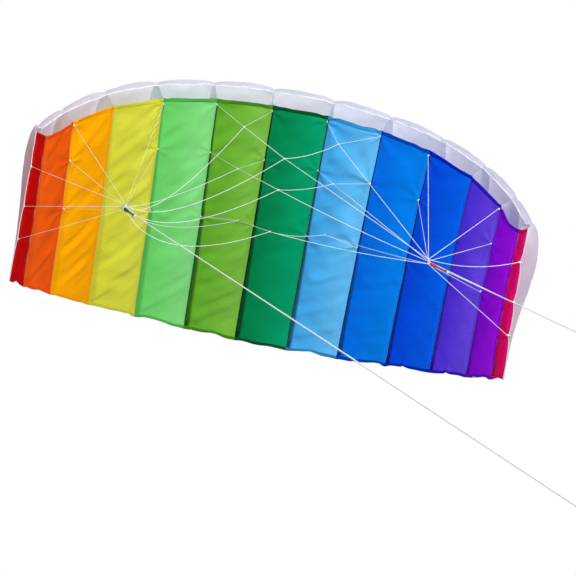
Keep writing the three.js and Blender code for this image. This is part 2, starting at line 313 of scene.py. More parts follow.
# By cell, counted from 0: how much harder than the rest the tabs pull some bottom panels.
TAB_PULLS = {3: 1.5, 5: 1.4, 6: 1.7, 7: 2.4}
# How far the tabs' folds run on some of them.
TAB_FOLD_REACHES = {7: 0.062}
# Where across a panel its gathered tail seam is kinked, as a fraction, and by how much.
TAIL_KINKS = {3: (0.86, 0.004), 5: (0.14, 0.003), 8: (0.38, 0.004), 9: (0.44, 0.006), 10: (0.5, 0.005)}
# How far the leading edge hangs aft between two ribs where it is slack.
NOSE_SLACKS = {1: 0.004, 11: 0.009, 12: 0.002}

LATTICE_SIZE = 64
LATTICE = np.random.default_rng(11).random((LATTICE_SIZE, LATTICE_SIZE)) * 2 - 1


def noise(x, y):
    """Smooth noise from -1 to 1 with one swell per unit, the same each run."""
    i, j = np.floor(x).astype(int), np.floor(y).astype(int)
    fx, fy = x - i, y - j
    fx, fy = fx * fx * (3 - 2 * fx), fy * fy * (3 - 2 * fy)
    value = lambda di, dj: LATTICE[(i + di) % LATTICE_SIZE, (j + dj) % LATTICE_SIZE]
    near = value(0, 0) * (1 - fx) + value(1, 0) * fx
    far = value(0, 1) * (1 - fx) + value(1, 1) * fx
    return near * (1 - fy) + far * fy


def folds(x, y, slant, width, length):
    """Long soft folds, slanted by that many degrees from across the cell towards the nose."""
    turn = math.radians(slant)
    along = x * math.cos(turn) - y * math.sin(turn)
    across = x * math.sin(turn) + y * math.cos(turn)
    return noise(across / width + 7.3, along / length + 3.1)


def seam_relief(left, right, y, depth, pucker, seed):
    """Groove at both ribs and the puckers that the stitching pulls beside it."""
    total = -depth * (np.exp(-((left / SEAM_REACH) ** 2)) + np.exp(-((right / SEAM_REACH) ** 2)))
    sides = ((left, LEFT_PUCKER_SHARE, -PUCKER_LEAN, 0.0), (right, 1.0, PUCKER_LEAN, 5.0))
    for away, share, lean, row in sides:
        wander = PUCKER_WANDER * noise(y / 0.03 + seed, row + 0 * y)
        phase = 2 * math.pi * (y - lean * away) / PUCKER_PITCH + wander
        strength = 0.45 + 0.55 * noise(y / 0.055 + 3 * seed, 9.5 + row + 0 * y)
        start = 1 - np.exp(-((away / PUCKER_START) ** 2))
        total = total + pucker * share * strength * start * np.exp(-away / PUCKER_REACH) * np.sin(phase)
    return total


def tab_places(rib):
    """Rows' places along the chord of the tabs under a rib, as fractions."""
    from_tip = min(rib, CELLS - rib)
    if from_tip == 0:
        return tuple(TIP_TAB_ROWS.values())
    return tuple(TAB_ROWS.values()) if from_tip in DIRECT_RIBS + CROSS_RIBS else ()


def tab_relief(cell, left, right, a, chord):
    """Where a tab pulls the skin down, folds run away from it."""
    total = np.zeros_like(left)
    height = TAB_FOLD_HEIGHT * TAB_PULLS.get(cell, 1.0)
    reach = TAB_FOLD_REACHES.get(cell, TAB_FOLD_REACH)
    for rib, away in ((cell, left), (cell + 1, right)):
        for number, place in enumerate(tab_places(rib)):
            dy = (a - place) * chord
            r = np.hypot(away, dy)
            turn = np.arctan2(dy, away + 0.0001)
            total += TAB_DIMPLE * np.exp(-((r / TAB_DIMPLE_REACH) ** 2))
            spokes = np.cos(TAB_FOLD_COUNT * turn + 1.7 * rib + 2.1 * number)
            start = 1 - np.exp(-((away / TAB_FOLD_START) ** 2))
            total += height * start * np.exp(-r / reach) * spokes
    return total


def stretched(cell, s, where, edge):
    """A skin drawn straight from rib to rib: its points, the ways out of the cell and aft, and the chord."""
    s = s[..., None]
    found = []
    for rib in (cell, cell + 1):
        section = Section(np.array(rib_station(rib)))
        at, out = edge(section, where)
        normal = section.aft * out[..., :1] + section.lift * out[..., 1:]
        found.append((section.place(at[..., 0], at[..., 1]), normal, section.aft, section.chord))
    points, normal, aft, chord = ((1 - s) * one + s * other for one, other in zip(*found))
    return points, unit(normal), unit(aft), chord[..., 0]


def tail_ruffle(x, inside):
    """How far the gathered trailing edge stands aft of its straight line."""
    return RUFFLE_SIZE * inside * noise(x / RUFFLE_WIDTH + 8.1, 4.5 + 0 * x) + RIB_TAIL * (1 - inside)


def tail_kink(cell, s):
    """How far forward the tail seam is drawn at a panel's kink."""
    place, size = TAIL_KINKS.get(cell, (0.5, 0.0))
    return size * np.exp(-(((s - place) * cell_width(cell) / KINK_REACH) ** 2))


def gathers(x):
    """The tail seam's gathers along the span."""
    return noise(x / GATHER_WIDTH + 2.2, 0.5 + 0 * x)


def low_skin(cell, s, a, extra=0.0):
    """Points of a bottom panel, s across it from 0 to 1 and a along the chord, with the way out."""
    s, a = np.broadcast_arrays(np.asarray(s, float), np.asarray(a, float))
    points, normal, aft, chord = stretched(cell, s, a, low_edge)
    width = cell_width(cell)
    left, right, y, to_tail = s * width, (1 - s) * width, a * chord, (1 - a) * chord
    inside = 1 - np.exp(-((np.minimum(left, right) / RIB_HOLD) ** 2))
    ends = np.clip(np.minimum(y, to_tail) / 0.02, 0, 1)
    relief = LOW_BILLOW * width * (1 - np.abs(2 * s - 1) ** 2.5) * 4 * a * (1 - a)
    depth = SEAM_DEPTH * np.clip(to_tail / 0.03, 0, 1)
    pucker = PUCKER_HEIGHT * PUCKERS[cell] * (0.3 + 0.7 * ends)
    relief = relief + seam_relief(left, right, y, depth, pucker, cell + 1.0)
    relief = relief + tab_relief(cell, left, right, a, chord)
    deep = FOLD_DEPTHS[cell] * FOLD_HEIGHT * inside * (0.35 + 0.65 * ends)
    x = (cell + s) * CELL_WIDTH
    relief = relief + deep * folds(x, y, *LOW_FOLDS[0])
    relief = relief + 0.7 * deep * folds(x + 0.4, y, *LOW_FOLDS[1])
    tail, nose = np.exp(-to_tail / TAIL_REACH), np.exp(-y / NOSE_WAVE_REACH)
    relief = relief + tail * (TAIL_GATHER * inside * gathers(x) + tail_kink(cell, s))
    slide = tail * (tail_ruffle(x, inside) - tail_kink(cell, s))
    slide = slide + NOSE_WAVE * inside * nose * noise(x / NOSE_WAVE_WIDTH + 1.4, 6.5 + 0 * x)
    slide = slide + NOSE_SLACKS.get(cell, 0.0) * np.sin(math.pi * s) * np.exp(-y / NOSE_SLACK_REACH)
    return points + normal * (relief + extra)[..., None] + aft * slide[..., None], normal


def top_skin(cell, s, t, extra=0.0):
    """Points of a top panel, s across it and t along it from the lip to the tail, with the way out."""
    s, t = np.broadcast_arrays(np.asarray(s, float), np.asarray(t, float))
    points, normal, aft, chord = stretched(cell, s, t, top_edge)
    width = cell_width(cell)
    left, right, y, to_tail = s * width, (1 - s) * width, t * chord * 1.1, (1 - t) * chord
    inside = 1 - np.exp(-((np.minimum(left, right) / RIB_HOLD) ** 2))
    full = np.sqrt(np.clip(1 - t, 0, 1)) * (LIP_FULLNESS + (1 - LIP_FULLNESS) * np.clip(t / LIP_FADE, 0, 1))
    relief = TOP_BILLOW * width * full * (1 - np.abs(2 * s - 1) ** 2.3)
    depth = TOP_SEAM_DEPTH * np.clip(to_tail / 0.05, 0, 1)
    relief = relief + seam_relief(left, right, y, depth, TOP_PUCKER_HEIGHT, cell + 20.0)
    x = (cell + s) * CELL_WIDTH
    fade = np.clip(to_tail / 0.06, 0, 1)
    relief = relief + TOP_FOLD_HEIGHT * inside * fade * folds(x, y, *TOP_FOLDS)
    (coarse, wide), (fine, narrow) = LIP_WRINKLES
    wrinkles = coarse * noise(x / wide, t * 6) + fine * noise(x / narrow + 3.3, t * 5)
    relief = relief + inside * np.exp(-t / LIP_WRINKLE_REACH) * wrinkles
    tail = np.exp(-to_tail / TAIL_REACH)
    relief = relief + tail * (TOP_TAIL_GATHER * inside * gathers(x) - tail_kink(cell, s))
    slide = tail * (tail_ruffle(x, inside) - tail_kink(cell, s))
    return points + normal * (relief + extra)[..., None] + aft * slide[..., None], normal


# ---- materials


class Nodes:
    """A material's node tree, built by short calls."""

    def __init__(self, name):
        self.material = bpy.data.materials.new(name)
        self.material.use_nodes = True
        self.tree = self.material.node_tree
        self.tree.nodes.clear()

    def add(self, kind, inputs=None, **settings):
        node = self.tree.nodes.new("ShaderNode" + kind)
        for key, value in settings.items():
            setattr(node, key, value)
        for key, value in (inputs or {}).items():
            self.put(node.inputs[key], value)
        return node

    def put(self, socket, value):
        if isinstance(value, bpy.types.NodeSocket):
            self.tree.links.new(value, socket)
        else:
            socket.default_value = value

    def math(self, operation, a, b=0.0):
        return self.add("Math", {0: a, 1: b}, operation=operation).outputs[0]

    def ramp(self, value, low, high, to_low=0.0, to_high=1.0):
        inputs = {"Value": value, "From Min": low, "From Max": high, "To Min": to_low, "To Max": to_high}
        return self.add("MapRange", inputs, interpolation_type="SMOOTHSTEP").outputs[0]

    def attribute(self, name):
        return self.add("Attribute", attribute_name=name).outputs["Fac"]

    def shaded(self, colour, shade):
        grey = self.add("CombineXYZ", {0: shade, 1: shade, 2: shade}).outputs[0]
        return self.mix(1.0, (*colour, 1), grey, "MULTIPLY")

    def mix(self, factor, a, b, blend="MIX"):
        node = self.add("Mix", data_type="RGBA", blend_type=blend)
        for key, value in ((0, factor), (6, a), (7, b)):
            self.put(node.inputs[key], value)
        return node.outputs[2]


def linear(colour):
    """A display colour, 0 to 255, as the linear one that nodes take."""
    parts = [c / 255 for c in colour]
    return tuple(c / 12.92 if c <= 0.04045 else ((c + 0.055) / 1.055) ** 2.4 for c in parts)


THREAD_PITCH = 0.00045
RIPSTOP_PITCH = 0.005
RIPSTOP_THREAD = 0.00022
SEAM_SHADE_REACH = (0.003, 0.011)  # how far the painted seam shade reaches from the left rib, at the nose and at the tail
SEAM_SHADE_TINT = 0.22  # brightness of the painted seam shade, a product of both panels' colours


def cloth_material(name, colour, seam=None, see_through=0.35, hem_shade=0.0, seam_shade_share=0.0, shade_gammas=(1, 1)):
    """Thin ripstop: plain weave with a grid of thicker threads, a soft sheen, and light coming through it.

    seam is the colour of the panel to the left: with it a band of painted shade is tinted along the left rib,
    the shade that the seam allowance and the rib cast through the cloth. The gammas at the left rib and at
    the right one paint light and shade across the panel, and a hem's share of painted shade darkens a hem.
    """
    n = Nodes(name)
    colour = linear(colour)
    uv = n.add("UVMap", uv_map="cloth").outputs[0]
    parts = n.add("SeparateXYZ", {0: uv})
    x, y = parts.outputs[0], parts.outputs[1]

    nearest = n.math("MINIMUM", *[n.math("PINGPONG", v, RIPSTOP_PITCH / 2) for v in (x, y)])
    ripstop = n.ramp(nearest, RIPSTOP_THREAD, RIPSTOP_THREAD * 2.2, 1.0, 0.0)
    waves = [n.math("SINE", n.math("MULTIPLY", v, 2 * math.pi / THREAD_PITCH)) for v in (x, y)]
    threads = n.math("MULTIPLY", *waves)
    cloud = n.add("TexNoise", {"Vector": uv, "Scale": 16.0, "Detail": 3.0, "Roughness": 0.5}).outputs[0]
    speck = n.add("TexNoise", {"Vector": uv, "Scale": 420.0, "Detail": 2.0, "Roughness": 0.6}).outputs[0]
    shade = n.math("ADD", n.ramp(cloud, 0.25, 0.75, 0.93, 1.06), n.ramp(speck, 0.2, 0.8, -0.05, 0.05))
    shade = n.math("SUBTRACT", shade, n.math("MULTIPLY", ripstop, 0.05))
    base = n.shaded(colour, shade)
    if hem_shade:
        # painted shade: a hem's colour is darkened and deepened, as its doubled cloth lets less light through
        base = n.mix(hem_shade, base, (*[c**1.6 * 0.6 for c in colour], 1))
    if seam is not None:
        # painted light and shade across the panel: its colour raised to a gamma that runs from the left rib
        # to the right one
        base = n.add("Gamma", {0: base, 1: n.ramp(n.attribute("across"), 0.0, 1.0, *shade_gammas)}).outputs[0]
        # painted shade along the left rib, tinted by both panels' colours, where the seam allowance and the
        # rib keep light from coming through the cloth
        seam_shade_colour = [a * b * SEAM_SHADE_TINT for a, b in zip(colour, linear(seam))]
        reach = n.ramp(n.attribute("along"), 0.0, 1.0, *SEAM_SHADE_REACH)
        ratio = n.math("DIVIDE", n.attribute("from_left"), reach)
        seam_shade_mask = n.ramp(ratio, 0.55, 1.35, 1.0, 0.0)
        base = n.mix(n.math("MULTIPLY", seam_shade_mask, seam_shade_share), base, (*seam_shade_colour, 1))
    height = n.math("ADD", n.math("MULTIPLY", threads, 0.3), n.math("MULTIPLY", ripstop, 1.0))
    height = n.math("ADD", height, n.math("MULTIPLY", speck, 0.6))
    bump = n.add("Bump", {"Strength": 0.35, "Distance": 0.00008, "Height": height}).outputs[0]
    roughness = n.math("ADD", n.ramp(cloud, 0.2, 0.8, 0.50, 0.62), n.math("MULTIPLY", speck, 0.06))
    surface = n.add("BsdfPrincipled", {"Base Color": base, "Roughness": roughness, "Normal": bump})
    surface.inputs["Sheen Weight"].default_value = 0.01
    surface.inputs["Sheen Roughness"].default_value = 0.4
    surface.inputs["Specular IOR Level"].default_value = 0.05
    through = n.add("BsdfTranslucent", {"Color": base, "Normal": bump})
    mixed = n.add("MixShader", {0: see_through, 1: surface.outputs[0], 2: through.outputs[0]})
    n.add("OutputMaterial", {"Surface": mixed.outputs[0]})
    return n.material


def cord_material(name, colour, pitch=0.0022, strands=4):
    """Braided cord. Its UV map goes once round the cord and along it in metres."""
    n = Nodes(name)
    colour = linear(colour)
    uv = n.add("UVMap", uv_map="cloth").outputs[0]
    parts = n.add("SeparateXYZ", {0: uv})
    around = n.math("MULTIPLY", parts.outputs[0], 2 * math.pi * strands)
    along = n.math("MULTIPLY", parts.outputs[1], 2 * math.pi / pitch)
    one = n.math("SINE", n.math("ADD", around, along))
    other = n.math("SINE", n.math("SUBTRACT", around, along))
    braid = n.math("MULTIPLY", one, other)
    fuzz = n.add("TexNoise", {"Vector": uv, "Scale": 900.0, "Detail": 2.0}).outputs[0]
    # painted shade in the braid's grooves
    groove_shade = n.ramp(braid, -0.9, 0.3, 0.72, 1.0)
    shade = n.math("MULTIPLY", groove_shade, n.ramp(fuzz, 0.2, 0.8, 0.92, 1.06))
    base = n.shaded(colour, shade)
    height = n.math("ADD", braid, n.math("MULTIPLY", fuzz, 0.4))
    bump = n.add("Bump", {"Strength": 0.6, "Distance": 0.00015, "Height": height}).outputs[0]
    rough = n.ramp(fuzz, 0.2, 0.8, 0.6, 0.75)
    surface = n.add("BsdfPrincipled", {"Base Color": base, "Roughness": rough, "Normal": bump})
    surface.inputs["Sheen Weight"].default_value = 0.25
    surface.inputs["Sheen Roughness"].default_value = 0.5
    surface.inputs["Specular IOR Level"].default_value = 0.35
    n.add("OutputMaterial", {"Surface": surface.outputs[0]})
    return n.material


# Display colours, 0 to 255. The panels' and the tables under them run from the left tip to the right.
PANEL_COLOURS = (
    (200, 0, 0), (246, 96, 14), (255, 174, 0), (214, 214, 64), (122, 214, 118), (112, 178, 55), (0, 141, 87),
    (85, 182, 236), (0, 125, 234), (0, 90, 238), (108, 69, 248), (170, 7, 252), (253, 0, 120),
)
WHITE_CLOTH = (219, 218, 230)
# How strong the painted shade along each bottom panel's left rib is, the shade that its seam allowance and
# the rib cast through it.
SEAM_SHADE_SHARES = (0.1, 0.2, 0.15, 0.2, 0.4, 0.9, 0.95, 0.9, 0.9, 0.9, 0.85, 0.8, 0.6)
# Painted light and shade across each panel: the gamma of its colour at its left rib and at its right one;
# above one paints shade, below one light.
PAINTED_SHADE_GAMMAS = (
    (0.97, 1.06), (0.97, 1.05), (0.97, 1.05), (1.05, 0.95), (1.2, 0.9), (1.16, 0.9), (1.16, 0.84),
    (1.2, 0.85), (1.12, 0.92), (1.1, 0.9), (1.16, 0.9), (1.16, 0.9), (1.05, 1.0),
)
# How much darker than its panel each hem is painted, as painted shade, at the leading edge and at the
# trailing edge.
HEM_SHADES = (0.3, 0.35, 0.3, 0.35, 0.9, 0.85, 1.0, 0.8, 1.0, 1.0, 1.0, 1.0, 0.6)
TAIL_HEM_SHADES = (0.3, 0.3, 0.3, 0.4, 0.8, 0.85, 1.0, 0.9, 1.0, 1.0, 1.0, 1.0, 0.5)

CLOTHS = []
HEMS = []
TAIL_HEMS = []
THREADS = []
for cell, colour in enumerate(PANEL_COLOURS):
    beside = PANEL_COLOURS[cell - 1] if cell else colour
    number = f"{cell + 1:02d}"
    share, shade_gammas = SEAM_SHADE_SHARES[cell], PAINTED_SHADE_GAMMAS[cell]
    CLOTHS.append(cloth_material("ripstop_" + number, colour, seam=beside, seam_shade_share=share, shade_gammas=shade_gammas))
    HEMS.append(cloth_material("hem_" + number, colour, hem_shade=HEM_SHADES[cell], see_through=0.15))
    hem_shade = TAIL_HEM_SHADES[cell]
    TAIL_HEMS.append(cloth_material("tail_hem_" + number, colour, hem_shade=hem_shade, see_through=0.15))
    paler = [min(255, c * 0.85 + 28) for c in colour]
    THREADS.append(cord_material("thread_" + number, paler, pitch=0.001))
WHITE = cloth_material("ripstop_white", WHITE_CLOTH, see_through=0.5)
# painted light: the ribs' white cloth is brighter than the top skin's, to lift the shade that the ribs stand
# in
RIB_WHITE = cloth_material("ripstop_rib", (240, 240, 246), see_through=0.7)
WHITE_HEM = cloth_material("hem_white", (238, 238, 244), see_through=0.2)
PIPING = cloth_material("piping_white", (250, 232, 238), see_through=0.3)
TAPE = cloth_material("tape_white", (240, 240, 240), see_through=0.1)
CORD = cord_material("braid_white", (222, 229, 232))
PIGTAIL_CORDS = {
    "left": cord_material("braid_blue", (16, 30, 58), pitch=0.004),
    "right": cord_material("braid_red", (190, 24, 42), pitch=0.004),
}

# ---- meshes


def add_mesh(name, verts, faces, material, uv, slot, attributes=None, body="canopy"):
    """A piece from points and faces. uv has one pair for each corner of each face, in the faces' order."""
    mesh = bpy.data.meshes.new(name)
    mesh.from_pydata(np.asarray(verts, float).tolist(), [], [list(map(int, f)) for f in faces])
    layer = mesh.uv_layers.new(name="cloth")
    layer.data.foreach_set("uv", np.asarray(uv, np.float32).ravel())
    for key, values in (attributes or {}).items():
        layer = mesh.attributes.new(key, "FLOAT", "POINT")
        layer.data.foreach_set("value", np.asarray(values, np.float32).ravel())
    mesh.polygons.foreach_set("use_smooth", [True] * len(mesh.polygons))
    mesh.materials.append(material)
    piece = bpy.data.objects.new(name, mesh)
    bpy.context.scene.collection.objects.link(piece)
    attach(piece, body)
    return piece


def grid_faces(rows, columns, wrap=False):
    """Faces of a grid whose points go row by row; wrap joins its last column to its first."""
    count = columns if wrap else columns - 1
    i, j = np.meshgrid(np.arange(rows - 1), np.arange(count), indexing="ij")
    k = (j + 1) % columns
    corners = (i * columns + j, i * columns + k, (i + 1) * columns + k, (i + 1) * columns + j)
    return np.stack(corners, -1).reshape(-1, 4)


def cloth_plane(points):
    """Each point's place on the flat cloth, in metres: lengths along the grid's lines."""
    place = np.zeros((*points.shape[:2], 2))
    place[:, 1:, 0] = np.cumsum(np.linalg.norm(np.diff(points, axis=1), axis=-1), axis=1)
    place[1:, :, 1] = np.cumsum(np.linalg.norm(np.diff(points, axis=0), axis=-1), axis=0)
    return place


def add_grid(name, points, material, slot, flip=False, attributes=None):
    """A sheet from a grid of points, whose UV map is the flat cloth."""
    faces = grid_faces(*points.shape[:2])
    if flip:
        faces = faces[:, ::-1]
    uv = cloth_plane(points).reshape(-1, 2)[faces.ravel()]
    return add_mesh(name, points.reshape(-1, 3), faces, material, uv, slot, attributes)


class Bundle:
    """Several solids that become one piece."""

    def __init__(self):
        self.verts, self.faces, self.uv, self.count = [], [], [], 0

    def put(self, verts, faces, uv):
        self.verts.append(verts)
        self.faces += [[int(v) + self.count for v in f] for f in faces]
        self.uv.append(np.asarray(uv).reshape(-1, 2))
        self.count += len(verts)

    def piece(self, name, material, **options):
        uv = np.concatenate(self.uv)
        return add_mesh(name, np.concatenate(self.verts), self.faces, material, uv=uv, **options)


def along_path(path):
    """Each point's distance along a path."""
    steps = np.linalg.norm(np.diff(path, axis=0), axis=1)
    return np.concatenate(([0], np.cumsum(steps)))


def frames_on(path, closed=False):
    """Two unit vectors square to a path at each of its points, turning as little as they can."""
    if closed:
        way = unit(np.roll(path, -1, 0) - np.roll(path, 1, 0))
    else:
        way = unit(np.gradient(path, axis=0))
    start = np.cross(way[0], (0.3, 0.9, 0.2))
    sides = [start / np.linalg.norm(start)]
    for w in way[1:]:
        side = sides[-1] - w * np.dot(sides[-1], w)
        sides.append(side / np.linalg.norm(side))
    sides = np.array(sides)
    if closed:
        last = sides[-1] - way[0] * np.dot(sides[-1], way[0])
        turn = math.atan2(np.dot(np.cross(last, sides[0]), way[0]), np.dot(last, sides[0]))
        share = turn * np.arange(len(path)) / len(path)
        other = np.cross(way, sides)
        sides = sides * np.cos(share)[:, None] + other * np.sin(share)[:, None]
    return sides, np.cross(way, sides)


def tube(path, radius, sides=8, closed=False):
    """A cord along a path, with rounded ends unless it is closed. radius may differ from point to point."""
    path = np.asarray(path, float)
    radius = np.broadcast_to(np.asarray(radius, float), (len(path),)).copy()
    if not closed:
        ends = unit(np.array((path[1] - path[0], path[-1] - path[-2])))
        first, last = radius[0], radius[-1]
        path = np.concatenate(([path[0]], [path[0] + ends[0] * first * 0.3], path[1:-1],
                               [path[-1] - ends[1] * last * 0.3], [path[-1]]))
        radius = np.concatenate(([first * 0.6, first], radius[1:-1], [last, last * 0.6]))
    side, other = frames_on(path, closed)
    turn = 2 * math.pi * np.arange(sides) / sides
    ring = side[:, None] * np.cos(turn)[None, :, None] + other[:, None] * np.sin(turn)[None, :, None]
    verts = (path[:, None] + ring * radius[:, None, None]).reshape(-1, 3)
    run = along_path(path)
    rows = len(path)
    faces, uv = [], []
    for i in range(rows if closed else rows - 1):
        k = (i + 1) % rows
        far = run[i + 1] if i + 1 < rows else run[-1] + np.linalg.norm(path[0] - path[-1])
        for j in range(sides):
            m = (j + 1) % sides
            faces.append((i * sides + j, i * sides + m, k * sides + m, k * sides + j))
            uv += [(j / sides, run[i]), ((j + 1) / sides, run[i]), ((j + 1) / sides, far), (j / sides, far)]
    if not closed:
        faces.append(tuple(range(sides))[::-1])
        faces.append(tuple((rows - 1) * sides + j for j in range(sides)))
        uv += [(j / sides, run[0]) for j in range(sides)][::-1] + [(j / sides, run[-1]) for j in range(sides)]
    return verts, faces, uv


def knot(centre, way, size, cord, points=64):
    """An overhand knot drawn up into a ball of that size, its line running along way."""
    t = 2 * math.pi * np.arange(points) / points
    trefoil = (np.sin(t) + 2 * np.sin(2 * t), np.cos(t) - 2 * np.cos(2 * t), -1.7 * np.sin(3 * t))
    shape = np.stack(trefoil, -1)
    way = unit(np.asarray(way, float))
    side = unit(np.cross(way, (0.2, 0.5, 0.84)))
    other = np.cross(way, side)
    shape = shape * (size - cord) / 3
    path = np.asarray(centre) + shape[:, :1] * way + shape[:, 1:2] * side + shape[:, 2:] * other
    return tube(path, cord, sides=8, closed=True)


def sagging(start, end, sag, skew, points=25):
    """A line between two points, straight or with a sag, as the CAD strands run."""
    start, end = np.asarray(start, float), np.asarray(end, float)
    t = np.linspace(0, 1, points if sag else 5)[:, None]
    control = start + (end - start) * (1 + skew) / 2 + SLACK_WAY * 2 * sag
    return start * (1 - t) ** 2 + 2 * control * t * (1 - t) + end * t**2


# ---- flying lines, first of all the pieces


def down_line(side, distance):
    """The point of a side's flying line at a distance from its tow point."""
    return np.array(TOW[side]) + PULL * distance


def straight(side, start, end, points):
    return np.array([down_line(side, d) for d in np.linspace(start, end, points)])


TOW_CORD = 0.0011
HITCH_CORD = 0.001
# The overhand knots on a pigtail: their number, the first one's place, pitch and size, and how they shrink.
PIGTAIL_KNOTS = 4
PIGTAIL_KNOT_AT = 0.009
PIGTAIL_KNOT_PITCH = 0.0075
PIGTAIL_KNOT_SIZE = 0.0038
PIGTAIL_KNOT_STEP = 0.0003
PIGTAIL_CORD = 0.0013


def tie(bundle, place, size, cord, across=(0, 1, 0)):
    """Two overhand knots drawn up on each other, one square to the other."""
    bundle.put(*knot(place, PULL, size, cord))
    bundle.put(*knot(place, np.cross(PULL, across), size * 0.9, cord - 0.0001))


def add_tow_end(side):
    """One side's tow knot, pigtail, line knot, flying line and the loop at its end."""
    tow = Bundle()
    tie(tow, down_line(side, 0), TOW_KNOT_RADIUS, TOW_CORD)
    piece = tow.piece("tow_hitch_" + side, CORD, body="tow_knot_" + side, slot="cord_white")
    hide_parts("tow_knot_" + side)

    path = straight(side, TOW_KNOT_RADIUS + GAP, PIGTAIL_LENGTH, 16)
    dye = "pigtail_blue" if side == "left" else "pigtail_red"
    body = "pigtail_" + side
    pigtail = Bundle()
    pigtail.put(*tube(path, PIGTAIL_RADIUS, sides=14))
    pigtail = pigtail.piece("pigtail_cord_" + side, PIGTAIL_CORDS[side], body=body, slot=dye)
    stopper = Bundle()
    for number in range(PIGTAIL_KNOTS):
        turned = PULL if number % 2 else np.cross(PULL, (1, 0, 0))
        place = down_line(side, PIGTAIL_KNOT_AT + PIGTAIL_KNOT_PITCH * number)
        stopper.put(*knot(place, turned, PIGTAIL_KNOT_SIZE - PIGTAIL_KNOT_STEP * number, PIGTAIL_CORD))
    tie(stopper, down_line(side, PIGTAIL_LENGTH), STOPPER_RADIUS, TOW_CORD, across=(1, 0, 0))
    stopper = stopper.piece("pigtail_stopper_" + side, PIGTAIL_CORDS[side], body=body, slot=dye)
    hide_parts("pigtail_" + side)

    body = "line_" + side
    hitch = Bundle()
    tie(hitch, down_line(side, LINE_KNOT_AT), LINE_KNOT_RADIUS, HITCH_CORD)
    hitch = hitch.piece("line_hitch_" + side, CORD, body=body, slot="cord_white")
    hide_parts("line_knot_" + side)

    start, end = LINE_KNOT_AT + LINE_KNOT_RADIUS + GAP, FLYING_END[side]
    path = straight(side, start, end, 40)
    line = Bundle()
    line.put(*tube(path, FLYING_RADIUS, sides=10))
    line = line.piece("line_cord_" + side, CORD, body=body, slot="cord_white")
    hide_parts("flying_line_" + side)

    knot_at = end + GAP + LINE_KNOT_RADIUS
    across = unit(np.array((1.0, 0, 0)) - PULL * PULL[0])
    turn = 2 * math.pi * np.arange(48) / 48
    centre = down_line(side, knot_at + LOOP_RING * LOOP_STRETCH)
    round_it = np.cos(turn)[:, None] * across + LOOP_STRETCH * np.sin(turn)[:, None] * PULL
    ring = centre + LOOP_RING * round_it
    loop = Bundle()
    loop.put(*tube(ring, LOOP_CORD, sides=10, closed=True))
    tie(loop, down_line(side, knot_at), LINE_KNOT_RADIUS, HITCH_CORD)
    loop = loop.piece("line_loop_" + side, CORD, body=body, slot="cord_white")
    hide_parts("end_loop_" + side)


for side in ("left", "right"):
    add_tow_end(side)

# ---- canopy
LOW_ACROSS, LOW_ALONG = 49, 225
TOP_ACROSS, TOP_ALONG = 37, 181
RIB_ALONG, RIB_UP = 90, 10
HEM_WIDTH = 0.007
LAYER = 0.00045  # how far a hem's cloth stands off the skin


def edge_fold(skin, cell, edge, inward, chord):
    """Points of a hem folded round a skin's edge; edge is 0 or 1 and inward the way into the cloth."""
    s = np.linspace(0, 1, LOW_ACROSS)
    rows = []
    reach = HEM_WIDTH / chord
    for share, layer in ((1, 0.3), (0.97, 1), (0.66, 1), (0.33, 1), (0.05, 1), (-0.06, 0), (0.05, -1),
                         (0.33, -1), (0.66, -1), (0.97, -1), (1, -0.3)):
        where = edge + inward * share * reach
        rows.append(skin(cell, s, np.full_like(s, where), layer * LAYER)[0])
    return np.array(rows)


STITCH_LENGTH = 0.003
STITCH_PITCH = 0.0042
STITCH_RADIUS = 0.00028
STITCH_ROWS = (0.0036, 0.0062)  # distances from the rib
STITCH_START = 0.012
STITCHLESS = 0.03  # length of chord that has none, at both ends together


def add_stitches(cell):
    """Two rows of topstitching beside each rib of a bottom panel, as small raised stitches."""
    chord = middle_chord(cell)
    count = int((chord - STITCHLESS) / STITCH_PITCH)
    places = STITCH_START + STITCH_PITCH * np.arange(count)
    width = cell_width(cell)
    verts, faces = [], []
    rim = (0, 2, 1, 3)
    upper = [(rim[k], rim[(k + 1) % 4], 4) for k in range(4)]
    lower = [(rim[(k + 1) % 4], rim[k], 5) for k in range(4)]
    octahedron = np.array(upper + lower)
    for row in STITCH_ROWS[: 1 if width < 0.03 else 2]:
        for s in (row / width, 1 - row / width):
            across = np.full(count, s)
            first, out = low_skin(cell, across, (places - STITCH_LENGTH / 2) / chord, 0.0001)
            last, _ = low_skin(cell, across, (places + STITCH_LENGTH / 2) / chord, 0.0001)
            side = np.cross(unit(last - first), out) * STITCH_RADIUS
            out = out * STITCH_RADIUS
            middle = (first + last) / 2
            corners = np.stack((first, last, middle - side, middle + side, middle + out, middle - out), 1)
            starts = 6 * (np.arange(count) + len(verts) * count)
            faces.append((octahedron[None] + starts[:, None, None]).reshape(-1, 3))
            verts.append(corners.reshape(-1, 3))
    verts, faces = np.concatenate(verts), np.concatenate(faces)
    uv = verts[faces.ravel()][:, :2]
    number = f"{cell + 1:02d}"
    return add_mesh("topstitching_" + number, verts, faces, THREADS[cell], uv=uv, slot="cloth_" + number)


TOP_LENGTH = 1.4  # of a top panel's edge from lip to tail, in chords, for its hem's width
PIPING_RADIUS = 0.0009


def middle_chord(cell):
    return float(Section(np.array(rib_station(cell + 0.5))).chord)


